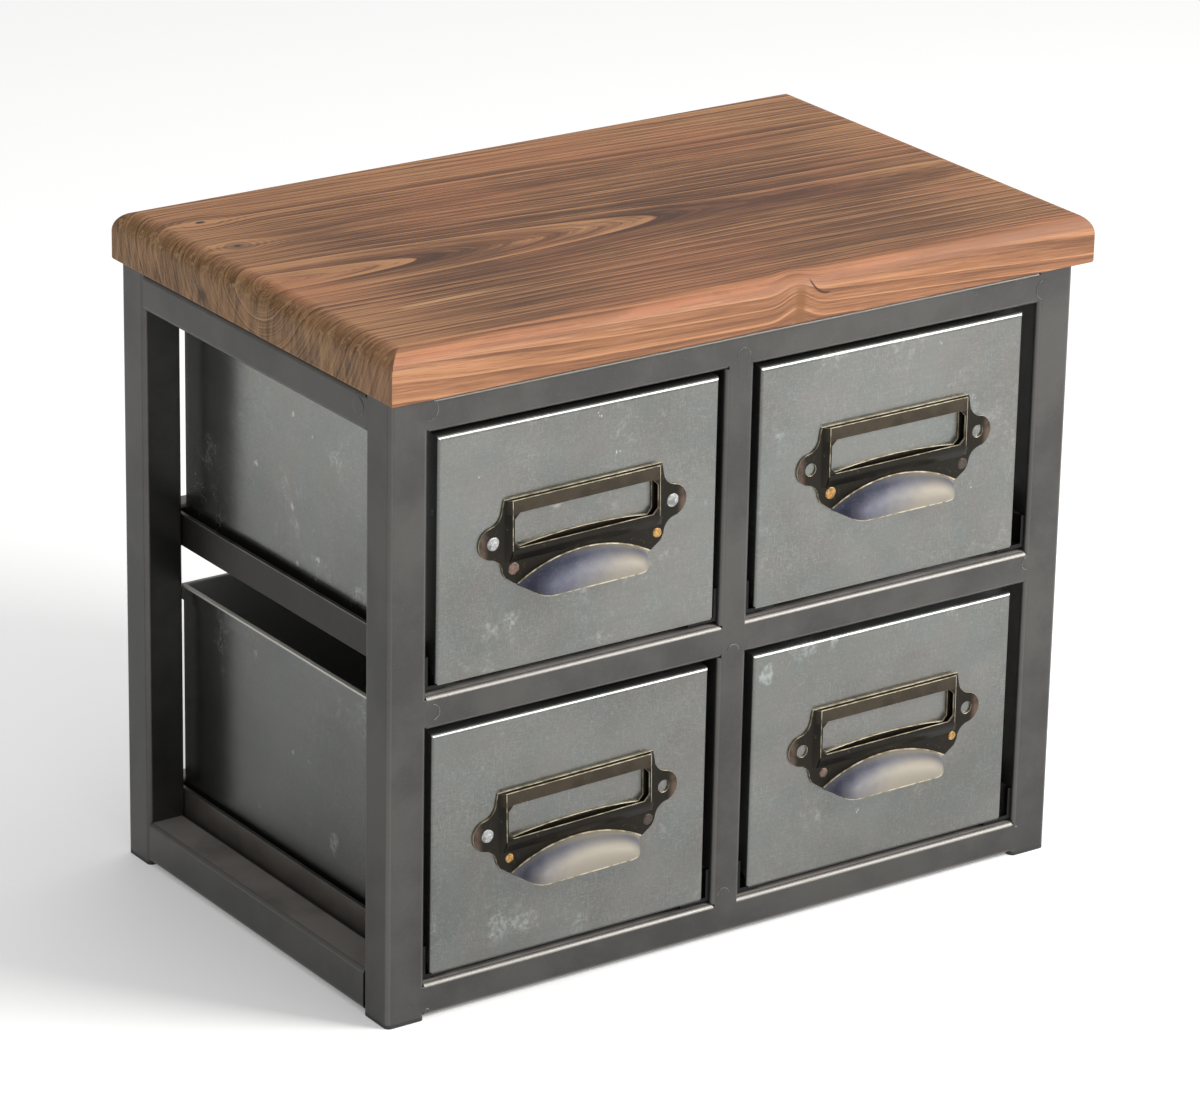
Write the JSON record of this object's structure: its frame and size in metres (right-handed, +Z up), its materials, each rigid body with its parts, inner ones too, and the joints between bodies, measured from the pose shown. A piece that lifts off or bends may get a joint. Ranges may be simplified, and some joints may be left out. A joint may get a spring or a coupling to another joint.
{
  "type": "parts cabinet",
  "caption": "Low desktop cabinet: a welded square-tube frame with a wooden top and rows of small sheet-metal drawers, each with a label holder and a finger cup.",
  "frame": {"origin": "centre of the whole object's footprint, on the floor under the foot caps", "axes": "+Z up, +X to the right as seen from the drawer fronts, -Y the way the drawers slide out"},
  "size_m": [0.3082, 0.1996, 0.2555],
  "materials": {
    "frame_steel": "satin gunmetal",
    "ground_welds": "ground and lacquered",
    "foot_plastic": "matt black",
    "galvanised_sheet": "dull galvanised, lightly scratched",
    "antiqued_plate": "dark antiqued plate, worn bright along the edges",
    "braze": "dull brazed metal",
    "stained_board": "stained softwood, satin",
    "zinc_screws": "zinc plated"
  },
  "bodies": {
    "frame": {"front_left_post": "frame_steel", "front_right_post": "frame_steel", "rear_left_post": "frame_steel", "rear_right_post": "frame_steel", "front_left_foot_cap": "foot_plastic", "front_right_foot_cap": "foot_plastic", "rear_left_foot_cap": "foot_plastic", "rear_right_foot_cap": "foot_plastic", "front_top_rail": "frame_steel", "front_middle_rail": "frame_steel", "front_bottom_rail": "frame_steel", "upper_stile": "frame_steel", "lower_stile": "frame_steel", "left_top_rail": "frame_steel", "right_top_rail": "frame_steel", "left_bottom_rail": "frame_steel", "right_bottom_rail": "frame_steel", "rear_top_rail": "frame_steel", "rear_middle_rail": "frame_steel", "rear_bottom_rail": "frame_steel", "upper_left_outer_runner": "frame_steel", "upper_left_inner_runner": "frame_steel", "upper_right_inner_runner": "frame_steel", "upper_right_outer_runner": "frame_steel", "lower_left_outer_runner": "frame_steel", "lower_left_inner_runner": "frame_steel", "lower_right_inner_runner": "frame_steel", "lower_right_outer_runner": "frame_steel", "frame_welds": "ground_welds", "wood_top": "stained_board", "top_screws": "zinc_screws"},
    "upper_left_drawer": {"upper_left_drawer_tray": "galvanised_sheet", "upper_left_drawer_front": "galvanised_sheet", "upper_left_label_plate": "antiqued_plate", "upper_left_finger_cup": "antiqued_plate", "upper_left_pull_welds": "braze"},
    "upper_right_drawer": {"upper_right_drawer_tray": "galvanised_sheet", "upper_right_drawer_front": "galvanised_sheet", "upper_right_label_plate": "antiqued_plate", "upper_right_finger_cup": "antiqued_plate", "upper_right_pull_welds": "braze"},
    "lower_left_drawer": {"lower_left_drawer_tray": "galvanised_sheet", "lower_left_drawer_front": "galvanised_sheet", "lower_left_label_plate": "antiqued_plate", "lower_left_finger_cup": "antiqued_plate", "lower_left_pull_welds": "braze"},
    "lower_right_drawer": {"lower_right_drawer_tray": "galvanised_sheet", "lower_right_drawer_front": "galvanised_sheet", "lower_right_label_plate": "antiqued_plate", "lower_right_finger_cup": "antiqued_plate", "lower_right_pull_welds": "braze"}
  },
  "joints": [
    {"name": "upper_left_slide", "type": "slide", "parent": "frame", "child": "upper_left_drawer", "axis": [0, -1, 0], "range_m": [0, 0.14]},
    {"name": "upper_right_slide", "type": "slide", "parent": "frame", "child": "upper_right_drawer", "axis": [0, -1, 0], "range_m": [0, 0.14]},
    {"name": "lower_left_slide", "type": "slide", "parent": "frame", "child": "lower_left_drawer", "axis": [0, -1, 0], "range_m": [0, 0.14]},
    {"name": "lower_right_slide", "type": "slide", "parent": "frame", "child": "lower_right_drawer", "axis": [0, -1, 0], "range_m": [0, 0.14]}
  ]
}
